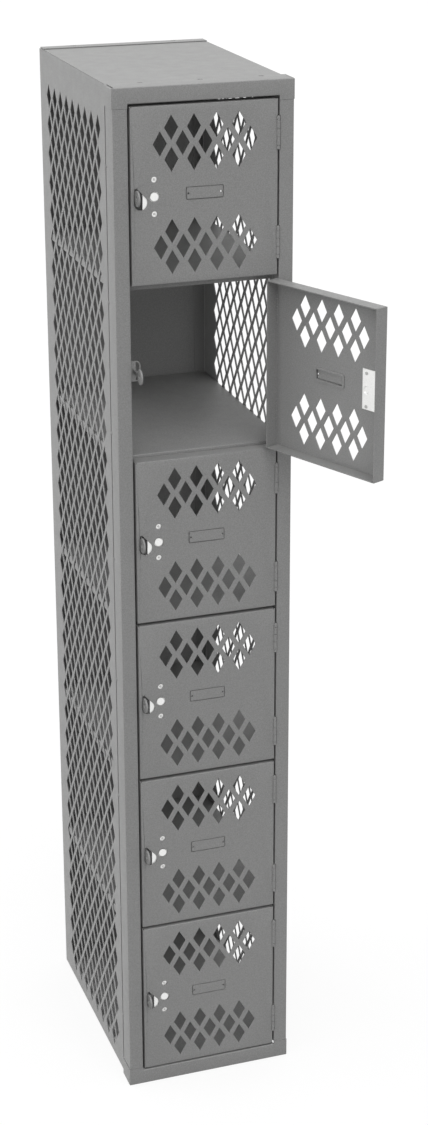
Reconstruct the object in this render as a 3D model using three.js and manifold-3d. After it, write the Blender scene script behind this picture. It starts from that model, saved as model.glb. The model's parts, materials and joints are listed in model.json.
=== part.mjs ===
// Six-door box locker with perforated sides and doors, in millimetres.
// X runs across the front, Y from the front face to the back, and Z up.
// The origin is on the floor, in the middle of the front rail's foot.

import * as THREE from "three";
import { mergeVertices } from "three/addons/utils/BufferGeometryUtils.js";
import Module from "manifold-3d";

const wasm = await Module();
wasm.setup();

// Cabinet
const WIDTH = 304.8;
const DEPTH = 457.2;
const HEIGHT = 1828.8;
const TIERS = 6;
const SHEET = 1.5;
const BEND = 2.5;
const BEND_STEPS = 2;

// Seam left between two pieces that touch, and how far a cutter runs past what it cuts
const FIT = 0.3;
const OVERRUN = 4;
const WELD = 0.001;

// Front frame
const STILE_FACE = 25.4;
const STILE_FLANGE = 44;
const STILE_CORNER = 5;
const STOP_LIP = 7;
const RAIL_FACE = 28.6;
const RAIL_END = 33.7;
const RAIL_FLANGE = 42;
const RAIL_WRAP = 1.2;

// Sheets inside the frame
const TOP_HEM = 25;
const BACK_HEM = 20;
const SHELF_LIP = 12.7;
const SHELF_RISE = 2.5;

// Perforation of the side sheets: staggered rows of diamonds inside a plain border
const SIDE_BORDER_FRONT = 70;
const SIDE_BORDER_REAR = 55;
const SIDE_BORDER_TOP = 57;
const SIDE_BORDER_BOTTOM = 32;
const SIDE_COLUMNS = 4;
const SIDE_ROWS = 12;
const SIDE_WIDTH_SHARE = 0.6;
const SIDE_HEIGHT_SHARE = 0.74;

// Doors, each a pan with its flanges turned back
const DOOR_SHEET = 1.9;
const DOOR_BEND = 2.6;
const DOOR_DEPTH = 25;
const DOOR_SIDE_GAP = 3;
const DOOR_GAP = 4.2;
const OPEN_TIER = 2;
const OPEN_ANGLE = THREE.MathUtils.degToRad(114);

// Perforation of a door: two groups of diamonds in rows of four, five and four.
// A group's middle row lies this far in from the door's end.
const DIAMOND_WIDTH = 23.6;
const DIAMOND_HEIGHT = 40.2;
const DIAMOND_COLUMN = 38.1;
const DIAMOND_ROW = 25.5;
const DIAMOND_COUNTS = [4, 5, 4];
const DIAMOND_SHIFT = 1.6;
const GROUP_INSET = 61.7;

// Holes for a built-in lock, one above another, and the plate that fills them
const LOCK_INSET = 39;
const LOCK_RISE = 1;
const LOCK_HOLE = 7.85;
const LOCK_SMALL_HOLE = 4.8;
const LOCK_SPACING = 28;
const LOCK_HOLE_SIDES = 10;
const LOCK_SMALL_SIDES = 6;
const PLATE_SHEET = 1.8;
const PLATE_WIDTH = 32;
const PLATE_HEIGHT = 70;
const PLATE_SHIFT = 3.5;
const BOSS_GAP = 0.7;
const BOSS_HEIGHT = 1.3;
const BOSS_HOLLOW = 4.9;
const BOSS_SIDES = 8;

// Raised seat for a number plate, with a rivet hole at each end
const SEAT_WIDTH = 62.5;
const SEAT_HEIGHT = 19.6;
const SEAT_RISE = 1.5;
const SEAT_PROUD = 0.8;
const SEAT_HOLE = 1.4;
const SEAT_HOLE_INSET = 3.3;
const SEAT_HOLE_SIDES = 6;

// Padlock staple: a round eye that stands out through the door, on a plate behind it
const EYE_INSET = 11;
const EYE_RISE = 0.5;
const EYE_RADIUS = 13;
const EYE_HOLE = 4.5;
const EYE_REACH = 9.5;
const EYE_SHEET = 3;
const EYE_STEPS = 9;
const EYE_HOLE_SIDES = 8;
const ARM_HEIGHT = 16;
const STAPLE_SHEET = 2.5;
const STAPLE_WIDTH = 22.7;
const STAPLE_HEIGHT = 35;
const STAPLE_STEPS = 3;

// Pear-shaped hole in the door round the staple's eye
const LATCH_CLEAR = 1.2;
const LATCH_TOP_RADIUS = 4.2;
const LATCH_RADIUS_SHARE = 0.92;
const LATCH_DROP_SHARE = 0.65;
const LATCH_SHIFT_SHARE = 0.6;
const LATCH_STEPS = 7;
const LATCH_TOP_STEPS = 2;

// Hinges: knuckles in the front plane, leaves in the gap beside the door.
// A hinge's middle lies this far in from the door's end.
const HINGE_INSET = 55.5;
const HINGE_LENGTH = 53.5;
const KNUCKLES = 5;
const KNUCKLE_RADIUS = 3.1;
const KNUCKLE_SIDES = 8;
const KNUCKLE_GAP = 0.35;
const LEAF_REACH = 21;
const LEAF_CLEAR = 0.5;
const PIN_RADIUS = 1.4;
const PIN_CLEAR = 0.3;
const PIN_PROUD = 0.5;
const PIN_SIDES = 8;
const BORE_SIDES = 6;
const NOTCH_CLEAR = 0.6;

// Places that several pieces share
const HALF_WIDTH = WIDTH / 2;
const JAMB = HALF_WIDTH - STILE_FACE;
const OPENING_TOP = HEIGHT - RAIL_FACE;
const TIER = (OPENING_TOP - RAIL_FACE) / TIERS;
const SIDE_OUTSIDE = HALF_WIDTH - SHEET - FIT;
const SIDE_INSIDE = SIDE_OUTSIDE - SHEET;
const SHELF_HALF = SIDE_INSIDE - FIT;
const INSIDE_BEND = BEND + FIT;
const SIDE_REAR = DEPTH - SHEET - FIT;
const SHELF_REAR = SIDE_REAR - SHEET - FIT;
const STOP_FACE = DOOR_DEPTH + FIT;
const STOP_BACK = STOP_FACE + SHEET;
const SHELF_FRONT = STOP_BACK + FIT;
const TOP_LEVEL = HEIGHT - SHEET - FIT;
const DOOR_WIDTH = 2 * (JAMB - DOOR_SIDE_GAP);
const DOOR_HEIGHT = TIER - DOOR_GAP;
const GROUP_OFFSET = DOOR_HEIGHT / 2 - GROUP_INSET;
const HINGE_OFFSET = DOOR_HEIGHT / 2 - HINGE_INSET;
const HINGE_X = JAMB - DOOR_SIDE_GAP / 2;
const EYE_X = EYE_INSET - JAMB;
const LEAF_SHEET = (DOOR_SIDE_GAP - FIT - LEAF_CLEAR) / 2;
const NOTCH = KNUCKLE_RADIUS + NOTCH_CLEAR;

const tierCentre = (tier) => OPENING_TOP - (tier - 1 / 2) * TIER;

const point = (across, up) => new THREE.Vector2(across, up);

const leftOf = (direction) => point(-direction.y, direction.x);

// Points of an arc, from one angle to another.
function arc(centre, radius, from, to, steps) {
  const points = [];
  for (let i = 0; i <= steps; i += 1) {
    const angle = from + ((to - from) * i) / steps;
    points.push(point(Math.cos(angle), Math.sin(angle)).multiplyScalar(radius).add(centre));
  }
  return points;
}

// Regular polygon with a flat side facing across.
function polygon(centre, radius, sides) {
  const half = Math.PI / sides;
  return new THREE.Shape(arc(centre, radius, half, 2 * Math.PI - half, sides - 1));
}

// Polygon that a circle of the given radius just fits inside.
const polygonRound = (centre, radius, sides) =>
  polygon(centre, radius / Math.cos(Math.PI / sides), sides);

function rectangle(left, bottom, right, top) {
  return new THREE.Shape([
    point(left, bottom),
    point(right, bottom),
    point(right, top),
    point(left, top),
  ]);
}

function diamond(centre, width, height) {
  return new THREE.Shape([
    point(centre.x - width / 2, centre.y),
    point(centre.x, centre.y - height / 2),
    point(centre.x + width / 2, centre.y),
    point(centre.x, centre.y + height / 2),
  ]);
}

// Outline round two circles: the wide one is first and the narrow one second.
function pear(wide, wideRadius, narrow, narrowRadius) {
  const between = narrow.clone().sub(wide);
  const lean = between.angle();
  const spread = Math.acos((wideRadius - narrowRadius) / between.length());
  return new THREE.Shape([
    ...arc(wide, wideRadius, lean + spread, lean - spread + 2 * Math.PI, LATCH_STEPS),
    ...arc(narrow, narrowRadius, lean - spread, lean + spread, LATCH_TOP_STEPS),
  ]);
}

// Section of a sheet bent along a path. The path is one face, and the sheet lies on its left.
function bentSheet(path) {
  const face = [];
  const back = [];
  path.forEach((corner, i) => {
    const before = i > 0 ? corner.clone().sub(path[i - 1]).normalize() : null;
    const after = i < path.length - 1 ? path[i + 1].clone().sub(corner).normalize() : null;
    if (!before || !after) {
      face.push(corner);
      back.push(leftOf(before || after).multiplyScalar(SHEET).add(corner));
      return;
    }
    const turn = Math.sign(before.cross(after));
    const faceRadius = turn > 0 ? BEND : BEND - SHEET;
    const backRadius = BEND - SHEET + BEND - faceRadius;
    const inwards = leftOf(before).multiplyScalar(turn);
    const centre = corner
      .clone()
      .addScaledVector(before, -faceRadius)
      .addScaledVector(inwards, faceRadius);
    const from = inwards.clone().negate().angle();
    const to = from + (turn * Math.PI) / 2;
    face.push(...arc(centre, faceRadius, from, to, BEND_STEPS));
    back.push(...arc(centre, backRadius, from, to, BEND_STEPS));
  });
  return new THREE.Shape([...face, ...back.reverse()]);
}

// Closed geometry as a solid that can be joined and cut.
function solid(geometry) {
  const bare = geometry.index ? geometry.toNonIndexed() : geometry.clone();
  bare.deleteAttribute("normal");
  bare.deleteAttribute("uv");
  const merged = mergeVertices(bare, WELD);
  return new wasm.Manifold(
    new wasm.Mesh({
      numProp: 3,
      vertProperties: merged.attributes.position.array,
      triVerts: new Uint32Array(merged.index.array),
    }),
  );
}

const AXES = {
  x: new THREE.Vector3(1, 0, 0),
  y: new THREE.Vector3(0, 1, 0),
  z: new THREE.Vector3(0, 0, 1),
};

// A section for x is drawn as (y, z), for y as (x, z), and for z as (x, y).
const DRAWN = {
  x: new THREE.Matrix4().makeBasis(AXES.y, AXES.z, AXES.x),
  y: new THREE.Matrix4().makeBasis(AXES.x, AXES.z, AXES.y.clone().negate()),
  z: new THREE.Matrix4(),
};

function extrude(shapes, axis, from, to) {
  const geometry = new THREE.ExtrudeGeometry(shapes, { depth: to - from, bevelEnabled: false });
  geometry.applyMatrix4(DRAWN[axis]);
  const start = AXES[axis].clone().multiplyScalar(axis === "y" ? to : from);
  geometry.translate(start.x, start.y, start.z);
  return solid(geometry);
}

// Block whose edges are rounded at both ends of its depth. It reaches from 0 to depth along Z.
function softBlock(width, height, depth, radius) {
  const core = rectangle(
    radius - width / 2,
    radius - height / 2,
    width / 2 - radius,
    height / 2 - radius,
  );
  return new THREE.ExtrudeGeometry(core, {
    depth: depth - 2 * radius,
    bevelSize: radius,
    bevelThickness: radius,
    bevelSegments: BEND_STEPS,
  }).translate(0, 0, radius);
}

// Pan: a flat face at Z 0 with a flange on each side, open towards +Z, turned by a matrix.
function pan(width, height, depth, sheet, bend, turn) {
  const outer = softBlock(width, height, depth + OVERRUN + 2 * bend, bend);
  const inner = softBlock(
    width - 2 * sheet,
    height - 2 * sheet,
    depth + 2 * OVERRUN + 2 * bend,
    bend - sheet,
  ).translate(0, 0, sheet);
  const beyond = new THREE.BoxGeometry(
    width + 2 * OVERRUN,
    height + 2 * OVERRUN,
    2 * (2 * OVERRUN + 2 * bend),
  ).translate(0, 0, depth + 2 * OVERRUN + 2 * bend);
  const [shell, hollow, spare] = [outer, inner, beyond].map((g) => solid(g.applyMatrix4(turn)));
  return shell.subtract(hollow).subtract(spare);
}

function geometryOf(made) {
  const { vertProperties, triVerts } = made.getMesh();
  const geometry = new THREE.BufferGeometry();
  geometry.setAttribute("position", new THREE.BufferAttribute(vertProperties, 3));
  geometry.setIndex(new THREE.BufferAttribute(triVerts, 1));
  geometry.computeVertexNormals();
  return geometry;
}

const paint = (color) => new THREE.MeshStandardMaterial({ color, roughness: 0.5, metalness: 0.15 });
const FRONT_GREY = 0x828280;
const SIDE_GREY = 0x9e9e9c;
const TOP_GREY = 0xacacab;
const INNER_GREY = 0x747473;
const zinc = () =>
  new THREE.MeshStandardMaterial({ color: 0xe2e2e0, roughness: 0.35, metalness: 0.5 });
const steel = () =>
  new THREE.MeshStandardMaterial({ color: 0x8f8f8d, roughness: 0.4, metalness: 0.8 });

function piece(name, made, material) {
  const mesh = new THREE.Mesh(geometryOf(made), material);
  mesh.name = name;
  return mesh;
}

// Stile at the left of the front: corner, face, jamb and the lip that stops the doors.
function stileSolid() {
  const section = bentSheet([
    point(-HALF_WIDTH, STILE_CORNER),
    point(-HALF_WIDTH, 0),
    point(-JAMB, 0),
    point(-JAMB, STOP_FACE),
    point(STOP_LIP - JAMB, STOP_FACE),
  ]);
  return extrude(section, "z", RAIL_END + FIT, HEIGHT - RAIL_END - FIT);
}

// Side flange of the left stile, behind its corner.
function flangeSolid() {
  const strip = rectangle(-HALF_WIDTH, STILE_CORNER + FIT, SHEET - HALF_WIDTH, STILE_FLANGE);
  return extrude(strip, "z", RAIL_END + FIT, HEIGHT - RAIL_END - FIT);
}

// Space in the stile's corner and in the door's corner for one hinge, about the hinge's axis.
function hingeNotch(x, z) {
  const length = HINGE_LENGTH + 2 * NOTCH_CLEAR;
  const section = rectangle(x - NOTCH, -OVERRUN, x + NOTCH, NOTCH);
  return extrude(section, "z", z - length / 2, z + length / 2);
}

// Rail across the top of the front. Its ends run down over the stiles and back along the sides.
function railSolid() {
  const reach = HALF_WIDTH + RAIL_WRAP;
  const face = bentSheet([
    point(RAIL_FLANGE, HEIGHT),
    point(0, HEIGHT),
    point(0, OPENING_TOP),
  ]);
  const sill = rectangle(0, OPENING_TOP, STOP_BACK, OPENING_TOP + SHEET);
  const leftEnd = bentSheet([point(-reach, RAIL_FLANGE), point(-reach, 0), point(-JAMB, 0)]);
  const rightEnd = bentSheet([point(JAMB, 0), point(reach, 0), point(reach, RAIL_FLANGE)]);
  return extrude(face, "x", -reach, reach)
    .add(extrude(sill, "x", -SHELF_HALF, SHELF_HALF))
    .add(extrude(leftEnd, "z", HEIGHT - RAIL_END, HEIGHT - SHEET / 2))
    .add(extrude(rightEnd, "z", HEIGHT - RAIL_END, HEIGHT - SHEET / 2));
}

// Staggered diamonds of the left side sheet, drawn as (y, z).
function sidePattern() {
  const wide = DEPTH - SIDE_BORDER_FRONT - SIDE_BORDER_REAR;
  const tall = HEIGHT - SIDE_BORDER_TOP - SIDE_BORDER_BOTTOM;
  const column = wide / (SIDE_COLUMNS - 1 + SIDE_WIDTH_SHARE);
  const row = tall / (SIDE_ROWS - 1 / 2 + SIDE_HEIGHT_SHARE);
  const first = point(
    SIDE_BORDER_FRONT + (column * SIDE_WIDTH_SHARE) / 2,
    HEIGHT - SIDE_BORDER_TOP - (row * SIDE_HEIGHT_SHARE) / 2,
  );
  const shapes = [];
  for (let i = 0; i < 2 * SIDE_ROWS; i += 1) {
    const odd = i % 2;
    for (let j = 0; j < SIDE_COLUMNS - odd; j += 1) {
      const centre = point(first.x + (j + odd / 2) * column, first.y - (i * row) / 2);
      shapes.push(diamond(centre, column * SIDE_WIDTH_SHARE, row * SIDE_HEIGHT_SHARE));
    }
  }
  return shapes;
}

// Perforated sheet of the left side.
function sideSolid() {
  const sheet = rectangle(-SIDE_OUTSIDE, INSIDE_BEND, -SIDE_INSIDE, SIDE_REAR);
  const holes = extrude(
    sidePattern(),
    "x",
    -SIDE_OUTSIDE - OVERRUN,
    -SIDE_INSIDE + OVERRUN,
  );
  return extrude(sheet, "z", INSIDE_BEND, HEIGHT - INSIDE_BEND).subtract(holes);
}

// Plain back, whose side edges are folded flat on themselves, inside the two side sheets.
function backSolid() {
  const face = DEPTH - SHEET;
  const sheet = rectangle(-SIDE_OUTSIDE, face, SIDE_OUTSIDE, DEPTH);
  const hems = [-SHELF_HALF, SHELF_HALF - BACK_HEM].map((left) =>
    rectangle(left, SHELF_REAR + FIT, left + BACK_HEM, face + SHEET / 2),
  );
  const top = TOP_LEVEL - SHEET - FIT;
  return extrude(sheet, "z", 0, top).add(extrude(hems, "z", 0, top));
}

// Plain top under the front rail, whose rear edge is folded flat on itself over the back.
function topSolid() {
  const sheet = rectangle(INSIDE_BEND, TOP_LEVEL - SHEET, DEPTH, TOP_LEVEL);
  const hem = rectangle(DEPTH - TOP_HEM, TOP_LEVEL - SHEET / 2, DEPTH, HEIGHT);
  return extrude(sheet, "x", -SHELF_HALF, SHELF_HALF).add(
    extrude(hem, "x", -SHELF_HALF, SHELF_HALF),
  );
}

// Shelf or floor: a pan turned upside down, whose front flange closes the gap between two doors.
function shelfSolid() {
  const turn = new THREE.Matrix4().makeRotationX(Math.PI);
  turn.setPosition(0, (SHELF_FRONT + SHELF_REAR) / 2, 0);
  return pan(2 * SHELF_HALF, SHELF_REAR - SHELF_FRONT, SHELF_LIP, SHEET, BEND, turn);
}

// Diamonds of one door, drawn as (x, z) about the door's middle.
function doorPattern() {
  const shapes = [];
  for (const group of [-1, 1]) {
    DIAMOND_COUNTS.forEach((count, i) => {
      const rise = group * GROUP_OFFSET + (i - (DIAMOND_COUNTS.length - 1) / 2) * DIAMOND_ROW;
      for (let j = 0; j < count; j += 1) {
        const across = DIAMOND_SHIFT + (j - (count - 1) / 2) * DIAMOND_COLUMN;
        shapes.push(diamond(point(across, rise), DIAMOND_WIDTH, DIAMOND_HEIGHT));
      }
    });
  }
  return shapes;
}

// Holes in the door's face, drawn as (x, z) about the door's middle.
function doorHoles() {
  const lock = LOCK_INSET - DOOR_WIDTH / 2;
  const seatEnd = SEAT_WIDTH / 2 - SEAT_HOLE_INSET;
  const eye = point(EYE_X, EYE_RISE);
  const wide = point(
    eye.x + EYE_RADIUS * LATCH_SHIFT_SHARE,
    eye.y - EYE_RADIUS * LATCH_DROP_SHARE,
  );
  const narrow = point(eye.x, eye.y + EYE_RADIUS + LATCH_CLEAR - LATCH_TOP_RADIUS);
  return [
    polygon(point(lock, LOCK_RISE), LOCK_HOLE, LOCK_HOLE_SIDES),
    polygon(point(lock, LOCK_RISE + LOCK_SPACING), LOCK_SMALL_HOLE, LOCK_SMALL_SIDES),
    polygon(point(lock, LOCK_RISE - LOCK_SPACING), LOCK_SMALL_HOLE, LOCK_SMALL_SIDES),
    polygon(point(-seatEnd, SEAT_RISE), SEAT_HOLE, SEAT_HOLE_SIDES),
    polygon(point(seatEnd, SEAT_RISE), SEAT_HOLE, SEAT_HOLE_SIDES),
    pear(wide, EYE_RADIUS * LATCH_RADIUS_SHARE, narrow, LATCH_TOP_RADIUS),
  ];
}

// Raised seat of the number plate, pressed out of the sheet: what stands out, and its hollow.
function seatBlock(margin, from, to) {
  const shape = rectangle(
    margin - SEAT_WIDTH / 2,
    SEAT_RISE - SEAT_HEIGHT / 2 + margin,
    SEAT_WIDTH / 2 - margin,
    SEAT_RISE + SEAT_HEIGHT / 2 - margin,
  );
  return extrude(shape, "y", from, to);
}

// One knuckle: a bored tube about the hinge's axis.
function knuckle(z, length) {
  const section = polygon(point(0, 0), KNUCKLE_RADIUS, KNUCKLE_SIDES);
  section.holes.push(polygonRound(point(0, 0), PIN_RADIUS + PIN_CLEAR, BORE_SIDES));
  return extrude(section, "z", z - length / 2, z + length / 2);
}

// Half of a hinge about its own middle. The frame's half holds knuckles 1, 3 and 5, the door's 2 and 4.
function hingeHalf(onDoor) {
  const length = (HINGE_LENGTH - (KNUCKLES - 1) * KNUCKLE_GAP) / KNUCKLES;
  const sink = onDoor ? DOOR_SHEET / 2 : 0;
  const inside = (onDoor ? DOOR_SIDE_GAP / 2 : DOOR_SIDE_GAP / 2 - FIT) - LEAF_SHEET;
  const [left, right] = onDoor
    ? [-inside - LEAF_SHEET - sink, -inside]
    : [inside, inside + LEAF_SHEET];
  const root = (PIN_RADIUS + PIN_CLEAR + KNUCKLE_RADIUS) / 2;
  const leaf = rectangle(left, NOTCH, right, LEAF_REACH);
  const neck = rectangle(onDoor ? -inside - LEAF_SHEET : left, root, right, NOTCH);
  let made = extrude(leaf, "z", -HINGE_LENGTH / 2, HINGE_LENGTH / 2);
  for (let i = onDoor ? 1 : 0; i < KNUCKLES; i += 2) {
    const z = (i - (KNUCKLES - 1) / 2) * (length + KNUCKLE_GAP);
    made = made.add(knuckle(z, length)).add(extrude(neck, "z", z - length / 2, z + length / 2));
  }
  return made;
}

// Door about its hinge axis, closed: the pan, its holes and its halves of the two hinges.
function doorSolid() {
  const middle = -(DOOR_SIDE_GAP + DOOR_WIDTH) / 2;
  const turn = new THREE.Matrix4().makeRotationX(-Math.PI / 2);
  const face = pan(DOOR_WIDTH, DOOR_HEIGHT, DOOR_DEPTH, DOOR_SHEET, DOOR_BEND, turn)
    .add(seatBlock(0, -SEAT_PROUD, DOOR_SHEET / 2))
    .subtract(seatBlock(DOOR_SHEET, DOOR_SHEET - SEAT_PROUD, DOOR_SHEET + OVERRUN))
    .subtract(extrude([...doorPattern(), ...doorHoles()], "y", -OVERRUN, DOOR_SHEET + OVERRUN));
  let door = face.translate([middle, 0, 0]);
  for (const z of [-HINGE_OFFSET, HINGE_OFFSET]) {
    door = door.subtract(hingeNotch(0, z)).add(hingeHalf(true).translate([0, 0, z]));
  }
  return door;
}

// Plate behind the lock holes, with a round boss that stands in the large one.
function lockPlateSolid() {
  const lock = LOCK_INSET - DOOR_WIDTH - DOOR_SIDE_GAP / 2;
  const front = DOOR_SHEET + FIT;
  const back = front + PLATE_SHEET;
  const left = lock - PLATE_WIDTH / 2 - PLATE_SHIFT;
  const plate = rectangle(
    left,
    LOCK_RISE - PLATE_HEIGHT / 2,
    left + PLATE_WIDTH,
    LOCK_RISE + PLATE_HEIGHT / 2,
  );
  const centre = point(lock, LOCK_RISE);
  const boss = polygon(centre, LOCK_HOLE - BOSS_GAP, BOSS_SIDES);
  const hollow = polygon(centre, BOSS_HOLLOW, BOSS_SIDES);
  return extrude(plate, "y", front, back)
    .add(extrude(boss, "y", front - BOSS_HEIGHT, front + PLATE_SHEET / 2))
    .subtract(extrude(hollow, "y", back - BOSS_HEIGHT, back + OVERRUN));
}

// Staple about the middle of its tier: the plate behind the stop lip, and the arm with its eye.
function stapleSolid() {
  const start = FIT - JAMB;
  const end = start + STAPLE_WIDTH;
  const round = STAPLE_HEIGHT / 4;
  const plate = new THREE.Shape([
    point(start, STAPLE_HEIGHT / 2),
    point(start, -STAPLE_HEIGHT / 2),
    ...arc(point(end - round, round - STAPLE_HEIGHT / 2), round, -Math.PI / 2, 0, STAPLE_STEPS),
    ...arc(point(end - round, STAPLE_HEIGHT / 2 - round), round, 0, Math.PI / 2, STAPLE_STEPS),
  ]);
  const front = SHELF_FRONT;
  const back = front + STAPLE_SHEET;
  const shoulder = Math.asin(ARM_HEIGHT / 2 / EYE_RADIUS);
  const eye = point(-EYE_REACH, EYE_RISE);
  const arm = new THREE.Shape([
    ...arc(eye, EYE_RADIUS, shoulder, 2 * Math.PI - shoulder, EYE_STEPS),
    point(back - STAPLE_SHEET / 2, EYE_RISE - ARM_HEIGHT / 2),
    point(back - STAPLE_SHEET / 2, EYE_RISE + ARM_HEIGHT / 2),
  ]);
  arm.holes.push(polygonRound(eye, EYE_HOLE, EYE_HOLE_SIDES));
  return extrude(plate, "y", front, back).add(
    extrude(arm, "x", EYE_X - EYE_SHEET / 2, EYE_X + EYE_SHEET / 2),
  );
}

// Hinge pin about the middle of its hinge.
function pinSolid() {
  const reach = HINGE_LENGTH / 2 + PIN_PROUD;
  return extrude(polygon(point(0, 0), PIN_RADIUS, PIN_SIDES), "z", -reach, reach);
}

// The cabinet, with Y 0 at the front face and Z 0 at the floor.
const cabinet = new THREE.Group();
const cabinetPiece = (name, made, material) => {
  const mesh = piece(name, made, material);
  cabinet.add(mesh);
  return mesh;
};

cabinetPiece("left_side", sideSolid(), paint(SIDE_GREY));
cabinetPiece("right_side", sideSolid(), paint(SIDE_GREY)).scale.x = -1;
cabinetPiece("back_panel", backSolid(), paint(INNER_GREY));
cabinetPiece("top_panel", topSolid(), paint(TOP_GREY));
cabinetPiece("stile_left", stileSolid(), paint(FRONT_GREY));
cabinetPiece("stile_flange_left", flangeSolid(), paint(SIDE_GREY));
cabinetPiece("stile_flange_right", flangeSolid(), paint(SIDE_GREY)).scale.x = -1;
cabinetPiece("header_rail", railSolid(), paint(FRONT_GREY));

const baseRail = cabinetPiece("base_rail", railSolid(), paint(FRONT_GREY));
baseRail.scale.z = -1;
baseRail.position.z = HEIGHT;

const floorPanel = cabinetPiece("bottom_panel", shelfSolid(), paint(INNER_GREY));
floorPanel.position.z = RAIL_FACE + SHELF_RISE;
for (let shelf = 1; shelf < TIERS; shelf += 1) {
  const mesh = cabinetPiece("shelf_" + shelf, shelfSolid(), paint(INNER_GREY));
  mesh.position.z = OPENING_TOP - shelf * TIER + SHELF_RISE;
}

// The right stile is the left one turned over, with the notches for the hinges.
let hingeStile = stileSolid();
for (let tier = 1; tier <= TIERS; tier += 1) {
  for (const offset of [-HINGE_OFFSET, HINGE_OFFSET]) {
    hingeStile = hingeStile.subtract(hingeNotch(-HINGE_X, tierCentre(tier) + offset));
  }
}
cabinetPiece("stile_right", hingeStile, paint(FRONT_GREY)).scale.x = -1;

const HINGES = { upper: HINGE_OFFSET, lower: -HINGE_OFFSET };

for (let tier = 1; tier <= TIERS; tier += 1) {
  const level = tierCentre(tier);

  const door = new THREE.Group();
  door.position.set(HINGE_X, 0, level);
  door.rotation.z = tier === OPEN_TIER ? OPEN_ANGLE : 0;
  door.add(piece("door_" + tier, doorSolid(), paint(FRONT_GREY)));
  door.add(piece("lock_plate_" + tier, lockPlateSolid(), zinc()));
  cabinet.add(door);

  cabinetPiece("staple_" + tier, stapleSolid(), paint(FRONT_GREY)).position.z = level;

  for (const [place, offset] of Object.entries(HINGES)) {
    const hinge = cabinetPiece(`hinge_${place}_${tier}`, hingeHalf(false), paint(FRONT_GREY));
    hinge.position.set(HINGE_X, 0, level + offset);
    const pin = cabinetPiece(`hinge_pin_${place}_${tier}`, pinSolid(), steel());
    pin.position.copy(hinge.position);
  }
}

// The whole part stands with its origin under the middle of the front foot.
cabinet.position.y = -RAIL_FLANGE / 2;
const locker = new THREE.Group();
locker.add(cabinet);

export default locker;
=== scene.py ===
# %% [markdown]
# # A six-door box locker in perforated sheet steel
#
# A box locker is a tall narrow cabinet with small doors one above another. Nearly all of it
# is sheet steel that is punched flat, bent up at its edges and riveted together, so this
# notebook builds each piece the same way: it draws a flat sheet, punches its holes, folds its
# flanges and only then gives the sheet its thickness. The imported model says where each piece
# goes, and each new piece takes its place there.

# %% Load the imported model
import json
import math

import bmesh
import bpy
from mathutils import Matrix, Vector


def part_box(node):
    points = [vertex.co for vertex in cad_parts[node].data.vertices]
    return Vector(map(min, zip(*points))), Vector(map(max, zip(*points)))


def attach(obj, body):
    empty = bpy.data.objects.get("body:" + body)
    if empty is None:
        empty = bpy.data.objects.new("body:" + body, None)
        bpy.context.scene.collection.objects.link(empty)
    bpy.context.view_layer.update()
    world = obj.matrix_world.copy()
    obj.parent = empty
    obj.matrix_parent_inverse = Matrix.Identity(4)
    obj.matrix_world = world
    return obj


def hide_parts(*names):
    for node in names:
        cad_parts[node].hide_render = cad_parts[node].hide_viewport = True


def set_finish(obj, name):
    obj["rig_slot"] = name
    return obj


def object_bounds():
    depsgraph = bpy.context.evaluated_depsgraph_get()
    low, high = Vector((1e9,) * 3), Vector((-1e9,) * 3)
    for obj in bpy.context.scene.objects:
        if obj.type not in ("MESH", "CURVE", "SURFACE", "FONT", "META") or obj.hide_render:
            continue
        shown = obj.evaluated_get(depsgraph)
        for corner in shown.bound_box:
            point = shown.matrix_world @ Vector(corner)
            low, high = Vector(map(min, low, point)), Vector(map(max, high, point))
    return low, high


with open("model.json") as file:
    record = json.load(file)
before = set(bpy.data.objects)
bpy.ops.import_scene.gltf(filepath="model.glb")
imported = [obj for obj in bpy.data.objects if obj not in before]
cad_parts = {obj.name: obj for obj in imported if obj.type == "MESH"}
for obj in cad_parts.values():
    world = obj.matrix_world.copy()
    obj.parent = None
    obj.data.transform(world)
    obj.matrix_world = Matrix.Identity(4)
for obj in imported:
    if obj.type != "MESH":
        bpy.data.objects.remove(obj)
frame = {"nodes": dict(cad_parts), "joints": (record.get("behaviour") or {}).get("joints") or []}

CAD_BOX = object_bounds()
print("Nodes:", len(frame["nodes"]), "from", tuple(CAD_BOX[0]), "to", tuple(CAD_BOX[1]))

# %% [markdown]
# ## The camera
#
# The photo was taken from the left and from well above the middle, with a long lens, so the
# uprights nearly stay parallel but still draw together towards the floor. The place and the
# lens come from a least-squares fit of 28 corners of the locker. They could be matched by eye,
# but a longer lens and a larger distance look much alike. The point straight ahead of the lens
# isn't the middle of the picture, because the picture was cropped, and a small shift of the
# lens stands for that crop.

# %% Camera
PHOTO = Vector((428, 1125))
STRAIGHT_AHEAD = Vector((237.333, 498.183))
FOCAL_PIXELS = 2236.858
SENSOR_MM = 36
CAMERA_PLACE = Vector((-1.1183, -3.3897, 2.4156))
CAMERA_HEADING = Vector((0.30936, 0.88793, -0.34041))


def add_object(name, data):
    made = bpy.data.objects.new(name, data)
    bpy.context.scene.collection.objects.link(made)
    return made


def set_up(thing, **settings):
    for name, value in settings.items():
        setattr(thing, name, value)
    return thing


camera_data = set_up(
    bpy.data.cameras.new("camera"),
    sensor_width=SENSOR_MM,
    lens=SENSOR_MM * FOCAL_PIXELS / PHOTO.y,
    shift_x=(PHOTO.x / 2 - STRAIGHT_AHEAD.x) / PHOTO.y,
    shift_y=(STRAIGHT_AHEAD.y - PHOTO.y / 2) / PHOTO.y,
)
camera = add_object("camera", camera_data)
turn = CAMERA_HEADING.to_track_quat("-Z", "Y").to_matrix().to_4x4()
camera.matrix_world = Matrix.Translation(CAMERA_PLACE) @ turn
bpy.context.scene.camera = camera
print("Camera:", round(camera_data.lens, 2), "mm at", tuple(camera.location))

# %% [markdown]
# ## Sizes
#
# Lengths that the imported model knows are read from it: the front plane, the height, the doors
# and their hinges. The others are the sheet's own sizes, in millimetres times MM. X runs
# across the front, Y runs back from it and Z runs up.

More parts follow.
